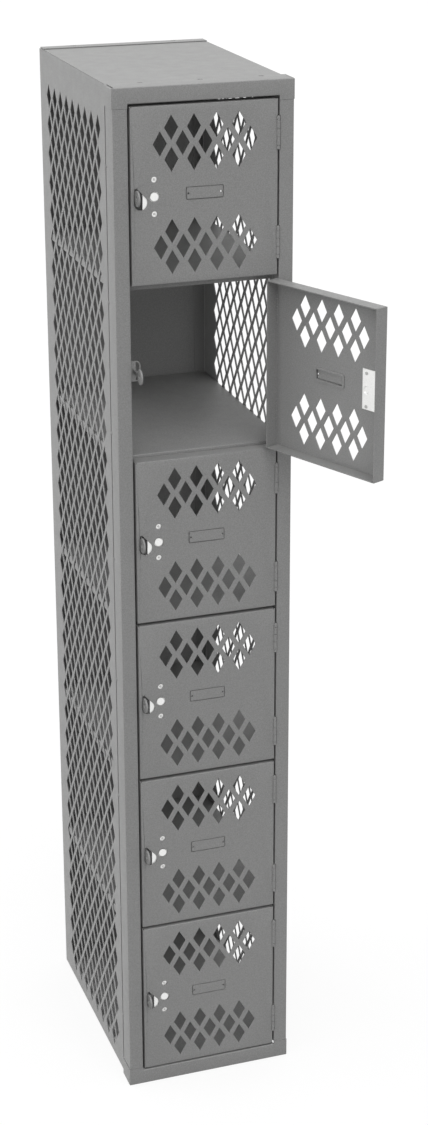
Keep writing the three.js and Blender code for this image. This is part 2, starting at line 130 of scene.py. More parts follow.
# %% Sizes shared by several pieces
MM = 0.001
SNAP = 0.02 * MM
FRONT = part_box("stile_left")[0].y
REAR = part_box("back_panel")[1].y
HEIGHT = CAD_BOX[1].z
HALF_WIDTH = -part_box("stile_left")[0].x
RAIL_HALF = -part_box("header_rail")[0].x
SIDE_OUTSIDE = -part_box("left_side")[0].x
SHELF_HALF = -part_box("shelf_1")[0].x
STILE_FACE = 24.8 * MM
JAMB = HALF_WIDTH - STILE_FACE
SHEET = 1.5 * MM
BEND = 1.9 * MM
BEND_STEPS = 4
EDGE_SOFTENING = 0.25 * MM
SMOOTH_ANGLE = math.radians(32)
FACING = 0.5
HOLE_SEGMENTS = 32

ACROSS = Vector((1, 0, 0))
BACKWARD = Vector((0, 1, 0))
UPWARD = Vector((0, 0, 1))
print("Frame:", round(2 * HALF_WIDTH / MM, 1), "wide,", round((REAR - FRONT) / MM, 1), "deep,",
      round(HEIGHT / MM, 1), "high, in millimetres")

# %% [markdown]
# ## Working sheet steel
#
# A press brake turns a sheet through a quarter circle at each bend. Three small helpers do
# the same to the edges of a mesh: `run` carries a sheet straight on, `bend` spins its edge
# through 90 degrees, and `fold` strings bends and runs together. A bend's radius belongs to
# the face that is drawn, so an outward bend takes BEND and an inward one takes BEND less the
# sheet. `round_off` bevels edges or corners that already exist, and `looking` picks the faces
# that look a given way.

# %% Helpers that fold a sheet
def only(kind, parts):
    return [part for part in parts if isinstance(part, kind)]


def move(bm, vector):
    bmesh.ops.translate(bm, verts=bm.verts, vec=vector)


def carry(bm, matrix):
    bmesh.ops.transform(bm, verts=bm.verts, matrix=matrix)


def looking(faces, way):
    return [face for face in faces if face.normal.dot(way) > FACING]


def run(bm, edges, heading, length):
    grown = bmesh.ops.extrude_edge_only(bm, edges=edges)["geom"]
    points = only(bmesh.types.BMVert, grown)
    bmesh.ops.translate(bm, verts=points, vec=heading * length)
    new = set(points)
    return [edge for edge in bm.edges if set(edge.verts) <= new]


def bend(bm, edges, heading, turn_to, radius):
    centre = edges[0].verts[0].co + turn_to * radius
    axis = heading.cross(turn_to)
    turned = bmesh.ops.spin(
        bm, geom=edges, cent=centre, axis=axis, angle=math.pi / 2, steps=BEND_STEPS)
    return only(bmesh.types.BMEdge, turned["geom_last"])


def fold(bm, edges, heading, bends):
    next_radii = [radius for turn_to, radius, reach in bends[1:]] + [0]
    for (turn_to, radius, reach), next_radius in zip(bends, next_radii):
        edges = bend(bm, edges, heading, turn_to, radius)
        edges = run(bm, edges, turn_to, reach - radius - next_radius)
        heading = turn_to


def round_off(bm, parts, radius, steps=BEND_STEPS, kind="EDGES"):
    return bmesh.ops.bevel(
        bm, geom=parts, offset=radius, offset_type="OFFSET", affect=kind,
        segments=steps, profile=0.5, material=-1, clamp_overlap=False,
    )


def line(bm, start, end):
    return [bm.edges.new([bm.verts.new(start), bm.verts.new(end)])]


print("Folding helpers ready")

# %% [markdown]
# The holes are punched while the sheet is flat. Each hole is only a loop of edges, and one
# fill covers the sheet between its outline and those loops. Other helpers slice a sheet, clear
# the part of it inside a given place, and press a face up or down. Afterwards the faces have to
# agree which side is out, because the thickness is added inwards from there.

# %% Helpers that punch and fill a sheet
def ring(bm, centre, radius, segments=HOLE_SEGMENTS):
    place = Matrix.Translation(centre)
    circle = bmesh.ops.create_circle(bm, segments=segments, radius=radius, matrix=place)
    return list(dict.fromkeys(edge for vert in circle["verts"] for edge in vert.link_edges))


def disc(bm, place, radius, segments):
    circle = bmesh.ops.create_circle(
        bm, cap_ends=True, segments=segments, radius=radius, matrix=place)
    return circle["verts"][0].link_faces[0]


def plate(bm, centre, width, height, turned=Matrix.Identity(4)):
    place = Matrix.Translation(centre) @ turned @ Matrix.Diagonal((width, height, 1, 1))
    corners = bmesh.ops.create_grid(bm, x_segments=1, y_segments=1, size=0.5, matrix=place)["verts"]
    return corners[0].link_faces[0]


def round_corners(bm, corners, rounding, steps):
    return round_off(bm, corners, rounding, steps, "VERTICES")["verts"][0].link_faces[0]


def open_up(bm, faces):
    edges = [edge for face in faces for edge in face.edges]
    bmesh.ops.delete(bm, geom=faces, context="FACES_ONLY")
    return edges


def clear(bm, faces, inside):
    gone = [face for face in faces if inside(face.calc_center_median())]
    bmesh.ops.delete(bm, geom=gone, context="FACES")


def fill(bm, edges, facing=UPWARD):
    bmesh.ops.triangle_fill(bm, use_beauty=True, edges=edges, normal=facing)


def emboss(bm, faces, slope, height, towards):
    for face in faces:
        face.normal_update()
        if face.normal.dot(towards) < 0:
            face.normal_flip()
    bmesh.ops.inset_individual(bm, faces=faces, thickness=slope, depth=height)


def box(bm, low, high):
    size = high - low
    place = Matrix.Translation((low + high) / 2) @ Matrix.Diagonal((*size, 1))
    bmesh.ops.create_cube(bm, size=1, matrix=place)


def slice_at(bm, faces, place, across):
    edges = dict.fromkeys(edge for face in faces for edge in face.edges)
    verts = dict.fromkeys(vert for face in faces for vert in face.verts)
    geometry = [*faces, *edges, *verts]
    bmesh.ops.bisect_plane(bm, geom=geometry, dist=SNAP, plane_co=place, plane_no=across)


def point_outwards(bm):
    bmesh.ops.recalc_face_normals(bm, faces=bm.faces)


def settle(bm, outward):
    bmesh.ops.remove_doubles(bm, verts=bm.verts, dist=SNAP)
    point_outwards(bm)
    if sum(face.calc_area() * face.normal.dot(outward) for face in bm.faces) < 0:
        bmesh.ops.reverse_faces(bm, faces=bm.faces)


print("Punching helpers ready")

# %% [markdown]
# A finished piece is a mesh whose object sits at the origin. Sheet pieces get their thickness
# from Solidify, inwards from the drawn face, and Bevel softens the edges of nearly all pieces,
# as powder coat does. Without that no edge would catch light. Both could be modelled into the
# mesh, but as modifiers they are easy to change.

# %% Helpers that finish a piece
PIECES = []


def mesh_of(name, bm):
    mesh = bpy.data.meshes.new(name)
    bm.to_mesh(mesh)
    bm.free()
    return mesh


def finish_piece(
    name, bm, body, nodes=(), slot="painted_steel", thickness=0, softening=EDGE_SOFTENING, rounds=1,
):
    mesh = mesh_of(name, bm)
    mesh.polygons.foreach_set("use_smooth", [True] * len(mesh.polygons))
    piece = add_object(name, mesh)
    if thickness:
        solidify = piece.modifiers.new("thickness", "SOLIDIFY")
        set_up(solidify, thickness=thickness, offset=-1, use_even_offset=True)
    if softening:
        soften = piece.modifiers.new("soft_edges", "BEVEL")
        set_up(soften, width=softening, segments=rounds, limit_method="ANGLE",
               angle_limit=SMOOTH_ANGLE, use_clamp_overlap=False, harden_normals=True)
    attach(piece, body)
    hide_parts(*nodes)
    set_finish(piece, slot)
    PIECES.append(piece)
    print(name, "has", len(mesh.polygons), "faces")


def sheet_piece(name, bm, *nodes):
    finish_piece(name, bm, "cabinet", nodes, thickness=SHEET)


print("Finishing helpers ready")

# %% [markdown]
# ## Diamonds punched in a staggered net
#
# Both the side sheets and the doors are perforated with upright diamonds in staggered rows.
# A picture of holes would be lightest, but it has no edges for the light to catch. Cutting
# hundreds of holes out of one face would work, but a net is easier: one diamond tile stands for
# each hole, the tiles meet at their corners and edges, and each gets a smaller diamond inset
# that is then taken out. What is left between the holes are the strands.

# %% Helper that makes a net of diamonds
def net(bm, centres, pitch, hole):
    before = {*bm.edges, *bm.faces}
    corners = []
    for centre in centres:
        place = Matrix.Translation(centre) @ Matrix.Diagonal((*pitch, 1, 1))
        tile = bmesh.ops.create_circle(bm, cap_ends=True, segments=4, radius=0.5, matrix=place)
        corners += tile["verts"]
    bmesh.ops.remove_doubles(bm, verts=corners, dist=SNAP)
    tiles = [face for face in bm.faces if face not in before]
    bmesh.ops.inset_individual(bm, faces=tiles, thickness=0)
    holes = {edge for tile in tiles for edge in tile.edges}
    shrink = (hole[0] / pitch[0], hole[1] / pitch[1], 1)
    for tile in tiles:
        about = Matrix.Translation(-tile.calc_center_median())
        bmesh.ops.scale(bm, vec=shrink, space=about, verts=tile.verts)
    open_up(bm, tiles)
    inner = before | holes
    return [edge for edge in bm.edges if edge.is_boundary and edge not in inner]


print("Net helper ready")

# %% [markdown]
# ## Side sheets
#
# Each side is one flat sheet inside the frame. Its net is 17 columns of diamonds, 9 in one row
# and 8 in the next, inside a plain border. The two sheets were punched a little differently: on
# the right one the net starts nearer the front, so each has its own first column. A sheet is
# drawn lying down, with Y of the locker along X and Z along Y, and then stood up. Its upper
# front corner is cut away where the header rail wraps round it, so the slit at the rail's end
# opens onto the dark.

# %% Side sheets
SIDE_COLUMN = 38.7 * MM
SIDE_ROW = 51.05 * MM
SIDE_HOLE = (27.8 * MM, 43 * MM)
SIDE_FIRST_ROW = 1751.3 * MM
LEFT_FIRST_COLUMN = 91.3 * MM
RIGHT_FIRST_COLUMN = 77.5 * MM
SIDE_WIDE_ROW = 9
SIDE_ROWS = 68
CORNER_REACH = 41 * MM
CORNER_DROP = 12 * MM
STAND_RIGHT = Matrix(((0, 0, 1, 0), (1, 0, 0, 0), (0, 1, 0, 0), (0, 0, 0, 1)))


def side_centres(first_column):
    for row in range(SIDE_ROWS):
        odd = row % 2
        for column in range(SIDE_WIDE_ROW - odd):
            along = FRONT + first_column + (column + odd / 2) * SIDE_COLUMN
            yield Vector((along, SIDE_FIRST_ROW - row * SIDE_ROW / 2, 0))


def clear_corner(bm):
    rear, under = FRONT + CORNER_REACH, HEIGHT - CORNER_DROP
    slice_at(bm, bm.faces, BACKWARD * rear, BACKWARD)
    border = [face for face in bm.faces if face.calc_center_median().y < rear]
    slice_at(bm, border, UPWARD * under, UPWARD)
    clear(bm, bm.faces, lambda middle: middle.y < rear and middle.z > under)


def side_sheet(name, node, sign, first_column):
    low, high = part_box(node)
    bm = bmesh.new()
    outline = net(bm, list(side_centres(first_column)), (SIDE_COLUMN, SIDE_ROW), SIDE_HOLE)
    centre = Vector(((low.y + REAR) / 2, (low.z + high.z) / 2, 0))
    outline += open_up(bm, [plate(bm, centre, REAR - low.y, high.z - low.z)])
    fill(bm, outline)
    carry(bm, STAND_RIGHT)
    move(bm, ACROSS * SIDE_OUTSIDE)
    clear_corner(bm)
    bmesh.ops.scale(bm, vec=(sign, 1, 1), verts=bm.verts)
    settle(bm, ACROSS * sign)
    sheet_piece(name, bm, node)


side_sheet("side_sheet_left", "left_side", -1, LEFT_FIRST_COLUMN)
side_sheet("side_sheet_right", "right_side", 1, RIGHT_FIRST_COLUMN)

# %% [markdown]
# ## Stiles
#
# A stile is one long folded channel: a flange along the side of the cabinet, the face beside
# the doors, the jamb that runs back past a closed door, and a narrow lip that stops the door.
# Its section is the same all the way up, so it starts as one upright line of its full length
# and is folded three times. Its whole section could be drawn first and pulled upwards, but then
# each bend would be drawn point by point. The photo shows a dark upright line near the rear
# edge of the flange, and a narrow groove makes it. The right stile carries the hinges, whose
# knuckles need notches in its corner, so slices mark off each notch and the faces inside it
# come out.

# %% Stiles
STILE_FLANGE = 44 * MM
GROOVE_WIDTH = 4.5 * MM
GROOVE_DEPTH = 1.5 * MM
GROOVE_MARGIN = 3.5 * MM
STOP_FACE = 25.3 * MM
STOP_LIP = 7 * MM
HINGE_LENGTH = 53.5 * MM
NOTCH_CLEAR = 0.6 * MM
KNUCKLE_RADIUS = 3.1 * MM
KNUCKLE_CLEAR = 0.3 * MM
NOTCH = KNUCKLE_RADIUS + NOTCH_CLEAR
NOTCH_HALF = HINGE_LENGTH / 2 + NOTCH_CLEAR
PLACES = ("upper", "lower")


def hinge_height(place, tier):
    low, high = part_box(f"hinge_{place}_{tier}")
    return (low.z + high.z) / 2


TIERS = len(frame["joints"])
HINGE_X = frame["joints"][0]["pos_m"][0]
HINGE_HEIGHTS = [hinge_height(place, tier) for tier in range(1, TIERS + 1) for place in PLACES]


def cut_notches(bm, heights, bend_start, edge, front):
    def near():
        return [face for face in bm.faces if face.calc_center_median().x > bend_start]

    def at_hinge(face):
        level = face.calc_center_median().z
        return any(abs(level - height) < NOTCH_HALF for height in heights)

    def beside_hinge():
        return list(filter(at_hinge, near()))

    for height in heights:
        for end in (-NOTCH_HALF, NOTCH_HALF):
            slice_at(bm, near(), UPWARD * (height + end), UPWARD)
    slice_at(bm, beside_hinge(), BACKWARD * (front + NOTCH), BACKWARD)
    slice_at(bm, beside_hinge(), ACROSS * edge, ACROSS)
    clear(bm, beside_hinge(), lambda middle: middle.x > edge and middle.y < front + NOTCH)


def stile(name, side, sign, notched):
    low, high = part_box("stile_left")
    bm = bmesh.new()
    rear_edge = Vector((-HALF_WIDTH, FRONT + STILE_FLANGE + GROOVE_MARGIN, 0))
    edges = line(bm, rear_edge + UPWARD * low.z, rear_edge + UPWARD * high.z)
    for heading, length in (
        (-BACKWARD, GROOVE_MARGIN),
        (ACROSS, GROOVE_DEPTH),
        (-BACKWARD, GROOVE_WIDTH),
        (-ACROSS, GROOVE_DEPTH),
        (-BACKWARD, STILE_FLANGE - GROOVE_WIDTH - BEND),
    ):
        edges = run(bm, edges, heading, length)
    fold(bm, edges, -BACKWARD, [
        (ACROSS, BEND, STILE_FACE),
        (BACKWARD, BEND, STOP_FACE),
        (ACROSS, BEND - SHEET, STOP_LIP),
    ])
    if notched:
        cut_notches(bm, HINGE_HEIGHTS, -JAMB - BEND, -HINGE_X - NOTCH, FRONT)
    bmesh.ops.scale(bm, vec=(-sign, 1, 1), verts=bm.verts)
    settle(bm, -BACKWARD)
    sheet_piece(name, bm, f"stile_{side}", f"stile_flange_{side}")


stile("stile_channel_left", "left", -1, notched=False)
stile("stile_channel_right", "right", 1, notched=True)

# %% [markdown]
# ## Trays with rounded rims
#
# A shelf and a door are the same thing to a sheet worker: a tray with four flanges. The rims
# are rounded, and at each corner the two bends meet in a mitre. The flanges themselves aren't
# joined there: the ones above and below stop short of the ones at the sides, so a thin slit
# runs down each corner. A bevel on an open box makes the rims and mitres in one go.

# %% Helper that makes a tray
CORNER_SLIT = 0.7 * MM


def tray(width, height, depth, radius, sheet):
    bm = bmesh.new()
    box(bm, Vector((-width / 2, -height / 2, -depth)), Vector((width / 2, height / 2, 0)))
    point_outwards(bm)
    open_up(bm, looking(bm.faces, -UPWARD))
    rims = [edge for edge in bm.edges if all(vert.co.z > -SNAP for vert in edge.verts)]
    round_off(bm, rims, radius)
    open_up(bm, [face for face in bm.faces if face.normal.z > 1 - SNAP])
    open_corners(bm, width, height, sheet)
    return bm


def open_corners(bm, width, height, sheet):
    def on_mitre(vert):
        from_side = width / 2 - abs(vert.co.x)
        from_end = height / 2 - abs(vert.co.y)
        return abs(from_side - from_end) < SNAP and vert.co.z < -SNAP

    corners = [edge for edge in bm.edges if all(on_mitre(vert) for vert in edge.verts)]
    bmesh.ops.split_edges(bm, edges=corners)
    for vert in bm.verts:
        at_end = [abs(face.normal.y) > abs(face.normal.x) for face in vert.link_faces]
        if on_mitre(vert) and all(at_end):
            vert.co.x -= math.copysign(sheet + CORNER_SLIT, vert.co.x)


def flat_outline(bm):
    return [
        edge for edge in bm.edges
        if edge.is_boundary and all(abs(vert.co.z) < SNAP for vert in edge.verts)
    ]


print("Tray helper ready")

# %% [markdown]
# ## Shelves and floor
#
# Each shelf is a tray whose flanges point down. Its front flange stands behind the gap between
# the door above and the door below, and shows at the edge of the open compartment. Plain slabs
# would do behind the shut doors, but all are made alike, so that any door may open. The floor
# of the lowest compartment is made the same way.

# %% Shelves and floor
def shelf(name, node):
    low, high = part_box(node)
    size = high - low
    bm = tray(size.x, size.y, size.z, BEND, SHEET)
    fill(bm, flat_outline(bm))
    centre = (low + high) / 2
    move(bm, (centre.x, centre.y, high.z))
    settle(bm, UPWARD)
    sheet_piece(name, bm, node)


for number in range(1, TIERS):
    shelf(f"shelf_tray_{number}", f"shelf_{number}")
shelf("floor_tray", "bottom_panel")

# %% [markdown]
# ## Doors
#
# A door is a deeper tray in thicker sheet. Its face holds two groups of diamonds, three lock
# holes, a pear-shaped hole for the padlock eye, and a seat for a number plate, which a die
# presses up inside a narrow groove. The face is drawn flat about the door's middle, with X
# across and Y up, and stood up at the end. DOOR_TRIM and DOOR_WIDEN bring the gaps round the
# shut doors nearer to the photo than the solids' plain clearance does. Boolean modifiers could
# cut the holes, but they tend to leave untidy faces round them.
#
# The pear is the outline of a thread pulled tight round two discs. Every point of a circle
# knows which way it looks, and goes to the disc that reaches furthest that way.

# %% Sizes of a door
DOOR_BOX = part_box("door_1")
DOOR_HEIGHT = DOOR_BOX[1].z - DOOR_BOX[0].z
DOOR_WIDTH = -2 * DOOR_BOX[0].x
DOOR_DEPTH = 24.7 * MM
DOOR_SHEET = 1.9 * MM
DOOR_BEND = 2.1 * MM
DOOR_TRIM = 0.6 * MM
DOOR_WIDEN = 1.2 * MM

DIAMOND = (23.6 * MM, 40.4 * MM)
DIAMOND_PITCH = (38.1 * MM, 51 * MM)
DIAMOND_COUNTS = (4, 5, 4)
DIAMOND_SHIFT = 1.6 * MM
GROUP_INSET = 61.7 * MM

LOCK_PLACE = Vector((39.4 * MM - DOOR_WIDTH / 2, -0.6 * MM, 0))
LOCK_SPACING = Vector((0, 28 * MM, 0))
LOCK_HOLE = 8.4 * MM
LOCK_SMALL_HOLE = 4.8 * MM

EYE_PLACE = Vector((-116 * MM, 0.5 * MM, 0))
EYE_RADIUS = 13 * MM
LATCH_WIDE = (EYE_PLACE + Vector((8.6 * MM, -10 * MM, 0)), 11.6 * MM)
LATCH_NARROW = (EYE_PLACE + Vector((0.9 * MM, 11.4 * MM, 0)), 2.9 * MM)
LATCH_SEGMENTS = 64

SEAT_PLACE = Vector((0, 1.5 * MM, 0))
SEAT_SIZE = (64.2 * MM, 21.3 * MM)
SEAT_ROUNDING = 2.4 * MM
SEAT_ROUNDING_STEPS = 5
SEAT_STEPS = ((0.2 * MM, -1.8 * MM), (1 * MM, 0), (0.5 * MM, 2.6 * MM))
SEAT_PROUD = sum(height for slope, height in SEAT_STEPS)
SEAT_HOLE = 1.7 * MM
SEAT_HOLE_SEGMENTS = 16
SEAT_HOLE_PLACE = Vector((27.9 * MM, 0, 0))
print("Door:", round(DOOR_WIDTH / MM, 1), "by", round(DOOR_HEIGHT / MM, 1), "millimetres")

# %% Holes of a door
def door_diamonds(group):
    level = group * (DOOR_HEIGHT / 2 - GROUP_INSET)
    for row, count in enumerate(DIAMOND_COUNTS):
        rise = (row - (len(DIAMOND_COUNTS) - 1) / 2) * DIAMOND_PITCH[1] / 2
        for column in range(count):
            along = DIAMOND_SHIFT + (column - (count - 1) / 2) * DIAMOND_PITCH[0]
            yield Vector((along, level + rise, 0))


def pear(bm, *discs):
    edges = ring(bm, Vector(), 1, LATCH_SEGMENTS)
    for vert in {vert for edge in edges for vert in edge.verts}:
        way = vert.co.normalized()
        centre, radius = max(discs, key=lambda end: end[0].dot(way) + end[1])
        vert.co = centre + way * radius
    return edges


def raise_seat(bm, raised):
    for slope, height in SEAT_STEPS:
        emboss(bm, [raised], slope, height, UPWARD)
    inner = open_up(bm, [raised])
    lift = UPWARD * SEAT_PROUD
    for end in (-SEAT_HOLE_PLACE, SEAT_HOLE_PLACE):
        inner += ring(bm, SEAT_PLACE + end + lift, SEAT_HOLE, SEAT_HOLE_SEGMENTS)
    fill(bm, inner)


DOOR_DIAMONDS = [*door_diamonds(-1), *door_diamonds(1)]
print("Diamonds in a door:", len(DOOR_DIAMONDS))

# %% [markdown]
# The door is made closed, about its hinge axis, and copied to each hinge in the model. A
# joint's lowest angle is where its door is shut, so turning a copy by the opposite of that
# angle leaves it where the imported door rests. One door of the six stands open.

# %% Doors
LAY_TO_STAND = Matrix.Rotation(math.pi / 2, 4, "X")
TIER_MIDDLES = [joint["pos_m"][2] for joint in frame["joints"]]
HINGE_REACH = HINGE_HEIGHTS[0] - TIER_MIDDLES[0]


def hang(joint):
    shut = math.radians(-joint["range_deg"][0])
    return Matrix.Translation(joint["pos_m"]) @ Matrix.Rotation(shut, 4, "Z")


def on_door(name, make, node="", **looks):
    for number, joint in enumerate(frame["joints"], 1):
        bm = make()
        carry(bm, hang(joint))
        nodes = [f"{node}_{number}"] if node else []
        finish_piece(f"{name}_{number}", bm, joint["child"], nodes, **looks)


def stand(bm):
    carry(bm, LAY_TO_STAND)
    move(bm, ACROSS * -HINGE_X)


def door():
    width, height = DOOR_WIDTH + DOOR_WIDEN, DOOR_HEIGHT - 2 * DOOR_TRIM
    bm = tray(width, height, DOOR_DEPTH, DOOR_BEND, DOOR_SHEET)
    move(bm, ACROSS * DOOR_WIDEN / 2)
    edges = flat_outline(bm)
    edges += net(bm, DOOR_DIAMONDS, DIAMOND_PITCH, DIAMOND)
    edges += ring(bm, LOCK_PLACE, LOCK_HOLE)
    edges += ring(bm, LOCK_PLACE + LOCK_SPACING, LOCK_SMALL_HOLE)
    edges += ring(bm, LOCK_PLACE - LOCK_SPACING, LOCK_SMALL_HOLE)
    edges += pear(bm, LATCH_WIDE, LATCH_NARROW)
    seat = plate(bm, SEAT_PLACE, *SEAT_SIZE)
    raised = round_corners(bm, seat.verts, SEAT_ROUNDING, SEAT_ROUNDING_STEPS)
    fill(bm, edges + list(raised.edges))
    raise_seat(bm, raised)
    stand(bm)
    bend_start = DOOR_WIDTH / 2 + DOOR_WIDEN - DOOR_BEND - HINGE_X
    cut_notches(bm, [-HINGE_REACH, HINGE_REACH], bend_start, -KNUCKLE_RADIUS - KNUCKLE_CLEAR, 0)
    settle(bm, -BACKWARD)
    return bm


on_door("door_tray", door, "door", thickness=DOOR_SHEET)

# %% [markdown]
# ## Flush rivets
#
# The header's flange is riveted to the top sheet, and the back to the shelves, with rivets that
# don't stand out: each sits in a shallow dish pressed into the sheet. A dish is a disc filled
# into the sheet and then pushed down. All rivets of the locker gather in one mesh.

# %% Helper that presses dishes for flush rivets
DISH_RADIUS = 4.8 * MM
DISH_SLOPE = 1.2 * MM
DISH_DEPTH = 2.6 * MM
RIVET_SEGMENTS = 12
RIVET_RINGS = 6
rivets = bmesh.new()


def turned_to(facing, centre):
    return Matrix.Translation(centre) @ facing.to_track_quat("Z", "Y").to_matrix().to_4x4()


def rivet(centre, facing, radius, height):
    place = turned_to(facing, centre) @ Matrix.Diagonal((radius, radius, height, 1))
    bmesh.ops.create_uvsphere(
        rivets, u_segments=RIVET_SEGMENTS, v_segments=RIVET_RINGS, radius=1, matrix=place)


def dish_rivets(bm, face, centres):
    facing = face.normal.copy()
    edges = open_up(bm, [face])
    dishes = []
    for centre in centres:
        dishes.append(disc(bm, turned_to(facing, centre), DISH_RADIUS, 2 * RIVET_SEGMENTS))
        edges += dishes[-1].edges
        rivet(centre - facing * DISH_DEPTH, facing, DISH_RADIUS - DISH_SLOPE, DISH_DEPTH)
    fill(bm, edges, facing)
    emboss(bm, dishes, DISH_SLOPE, -DISH_DEPTH, facing)


print("Dish helper ready")

# %% [markdown]
# ## Rails
#
# The header rail crosses the top of the front. Its ends wrap over the stiles and back along
# the sides, its upper flange lies on the top sheet and its sill turns in above the first door.
# It starts as a box without a back or an underside, whose five folds are bevelled round, and
# a slit at each end parts the flange from the wrapped end. The base rail is the same piece
# turned over, and its flange is the foot that the locker stands on.

# %% Folds of a rail
HEADER_FACE = 26.6 * MM
BASE_FACE = 28.4 * MM
RAIL_FLANGE = 42 * MM
SILL_DEPTH = 26.8 * MM
SLIT_INSET = 3.5 * MM
SLIT_START = 1.5 * MM
SLITS = ((-1, 3 * MM), (1, 1 * MM))
HEADER_RIVETS = (-95 * MM, 5 * MM, 109 * MM)
HEADER_RIVET_INSET = 5.2 * MM


def rail_shell(bm):
    low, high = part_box("header_rail")
    box(bm, low, high)
    point_outwards(bm)
    open_sides = looking(bm.faces, BACKWARD) + looking(bm.faces, -UPWARD)
    bmesh.ops.delete(bm, geom=open_sides, context="FACES")
    round_off(bm, [edge for edge in bm.edges if not edge.is_boundary], BEND)


def rail_sill(bm, face_height):
    underside = HEIGHT - face_height + BEND
    for side in (-JAMB, JAMB):
        slice_at(bm, bm.faces, ACROSS * side, ACROSS)
    slice_at(bm, bm.faces, UPWARD * underside, UPWARD)
    clear(bm, bm.faces, lambda middle: abs(middle.x) < JAMB and middle.z < underside)

    def at_opening(vert):
        return abs(vert.co.z - underside) < SNAP and abs(vert.co.x) < JAMB + SNAP

    rims = [edge for edge in bm.edges if edge.is_boundary and all(map(at_opening, edge.verts))]
    fold(bm, rims, -UPWARD, [(BACKWARD, BEND, SILL_DEPTH)])


def rail_slits(bm):
    start = FRONT + SLIT_START
    for side, width in SLITS:
        place = side * (RAIL_HALF - SLIT_INSET)
        for edge in (-width / 2, width / 2):
            slice_at(bm, bm.faces, ACROSS * (place + edge), ACROSS)
        strip = [face for face in bm.faces if abs(face.calc_center_median().x - place) < width / 2]
        slice_at(bm, strip, BACKWARD * start, BACKWARD)
        clear(bm, bm.faces, lambda middle: abs(middle.x - place) < width / 2 and middle.y > start)


print("Rail helpers ready")

# %% Header and base rails
def rail(name, node, face_height, turned_over, rivet_places):
    bm = bmesh.new()
    rail_shell(bm)
    rail_sill(bm, face_height)
    rail_slits(bm)
    flange = [face for face in bm.faces if face.normal.z > 1 - SNAP]
    middle = [face for face in flange if abs(face.calc_center_median().x) < RAIL_HALF - SLIT_INSET]
    upper = bmesh.ops.dissolve_faces(bm, faces=middle, use_verts=True)["region"]
    if rivet_places:
        along = BACKWARD * (FRONT + RAIL_FLANGE - HEADER_RIVET_INSET) + UPWARD * HEIGHT
        dish_rivets(bm, upper[0], [along + ACROSS * place for place in rivet_places])
    if turned_over:
        bmesh.ops.scale(bm, vec=(1, 1, -1), verts=bm.verts)
        move(bm, UPWARD * HEIGHT)
    settle(bm, -BACKWARD)
    sheet_piece(name, bm, node)


rail("header_channel", "header_rail", HEADER_FACE, turned_over=False, rivet_places=HEADER_RIVETS)
rail("base_channel", "base_rail", BASE_FACE, turned_over=True, rivet_places=())

# %% [markdown]
# ## Top and back
#
# Both are plain sheets whose edges are folded flat on themselves, which keeps a raw edge from
# cutting hands. The top's rear edge is folded over upwards and stands level with the header's
# flange. The back's side edges are folded forwards, and each fold shows as a thin upright line
# inside the open compartment. Rows of flush rivets hold the back to the shelves.

# %% Top and back
HEM_THICKNESS = 3.3 * MM
HEM_BEND = HEM_THICKNESS / 2
TOP_HEM = 25 * MM
BACK_HEM = 20 * MM
HEM_RIVETS = (-91 * MM, 91 * MM)
HEM_RIVET_INSET = 9.2 * MM
BACK_RIVETS = (-110 * MM, 0, 110 * MM)
BACK_RIVET_DROP = 9.5 * MM


def top_sheet():
    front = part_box("top_panel")[0].y
    bm = bmesh.new()
    edge = Vector((SHELF_HALF, REAR - TOP_HEM, HEIGHT))
    edges = line(bm, edge, edge - ACROSS * 2 * SHELF_HALF)
    edges = run(bm, edges, BACKWARD, TOP_HEM - HEM_BEND)
    fold(bm, edges, BACKWARD, [
        (-UPWARD, HEM_BEND, HEM_THICKNESS),
        (-BACKWARD, HEM_BEND, REAR - front),
    ])
    settle(bm, -UPWARD)
    hem = max(bm.faces, key=lambda face: face.normal.z)
    along = Vector((0, REAR - HEM_RIVET_INSET, HEIGHT))
    dish_rivets(bm, hem, [along + ACROSS * place for place in HEM_RIVETS])
    settle(bm, -UPWARD)
    sheet_piece("top_sheet", bm, "top_panel")


def back_sheet():
    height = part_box("back_panel")[1].z
    bm = bmesh.new()
    edge = Vector((BACK_HEM - SHELF_HALF, REAR - HEM_THICKNESS, 0))
    edges = line(bm, edge, edge + UPWARD * height)
    edges = run(bm, edges, -ACROSS, BACK_HEM - HEM_BEND)
    fold(bm, edges, -ACROSS, [
        (BACKWARD, HEM_BEND, HEM_THICKNESS),
        (ACROSS, HEM_BEND, 2 * SHELF_HALF),
        (-BACKWARD, HEM_BEND, HEM_THICKNESS),
        (-ACROSS, HEM_BEND, BACK_HEM),
    ])
    settle(bm, BACKWARD)
    sheet = max(bm.faces, key=lambda face: face.calc_area())
    levels = [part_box(f"shelf_{number}")[1].z - BACK_RIVET_DROP for number in range(1, TIERS)]
    levels.append(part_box("bottom_panel")[1].z - BACK_RIVET_DROP)
    dish_rivets(bm, sheet, [Vector((x, REAR, level)) for level in levels for x in BACK_RIVETS])
    settle(bm, BACKWARD)
    sheet_piece("back_sheet", bm, "back_panel")


top_sheet()
back_sheet()

# %% [markdown]
# ## Rivets
#
# Domed rivets hold each stile's side flange to the side sheet behind it. Every rivet is the
# same small flattened ball, half sunk in the sheet. With the flush ones they make one piece,
# because dozens of single objects would be slow to handle.

# %% Rivets
STILE_RIVETS = 8
STILE_RIVET_FIRST = 129.4 * MM
STILE_RIVET_SPACING = 224.3 * MM
STILE_RIVET_SETBACK = 37.8 * MM
STILE_RIVET = 3.1 * MM
STILE_RIVET_HEIGHT = 1.0 * MM

for side in (-1, 1):
    for count in range(STILE_RIVETS):
        level = STILE_RIVET_FIRST + count * STILE_RIVET_SPACING
        place = Vector((side * HALF_WIDTH, FRONT + STILE_RIVET_SETBACK, level))
        rivet(place, ACROSS * side, STILE_RIVET, STILE_RIVET_HEIGHT)
point_outwards(rivets)
finish_piece("rivets", rivets, "cabinet", softening=0)

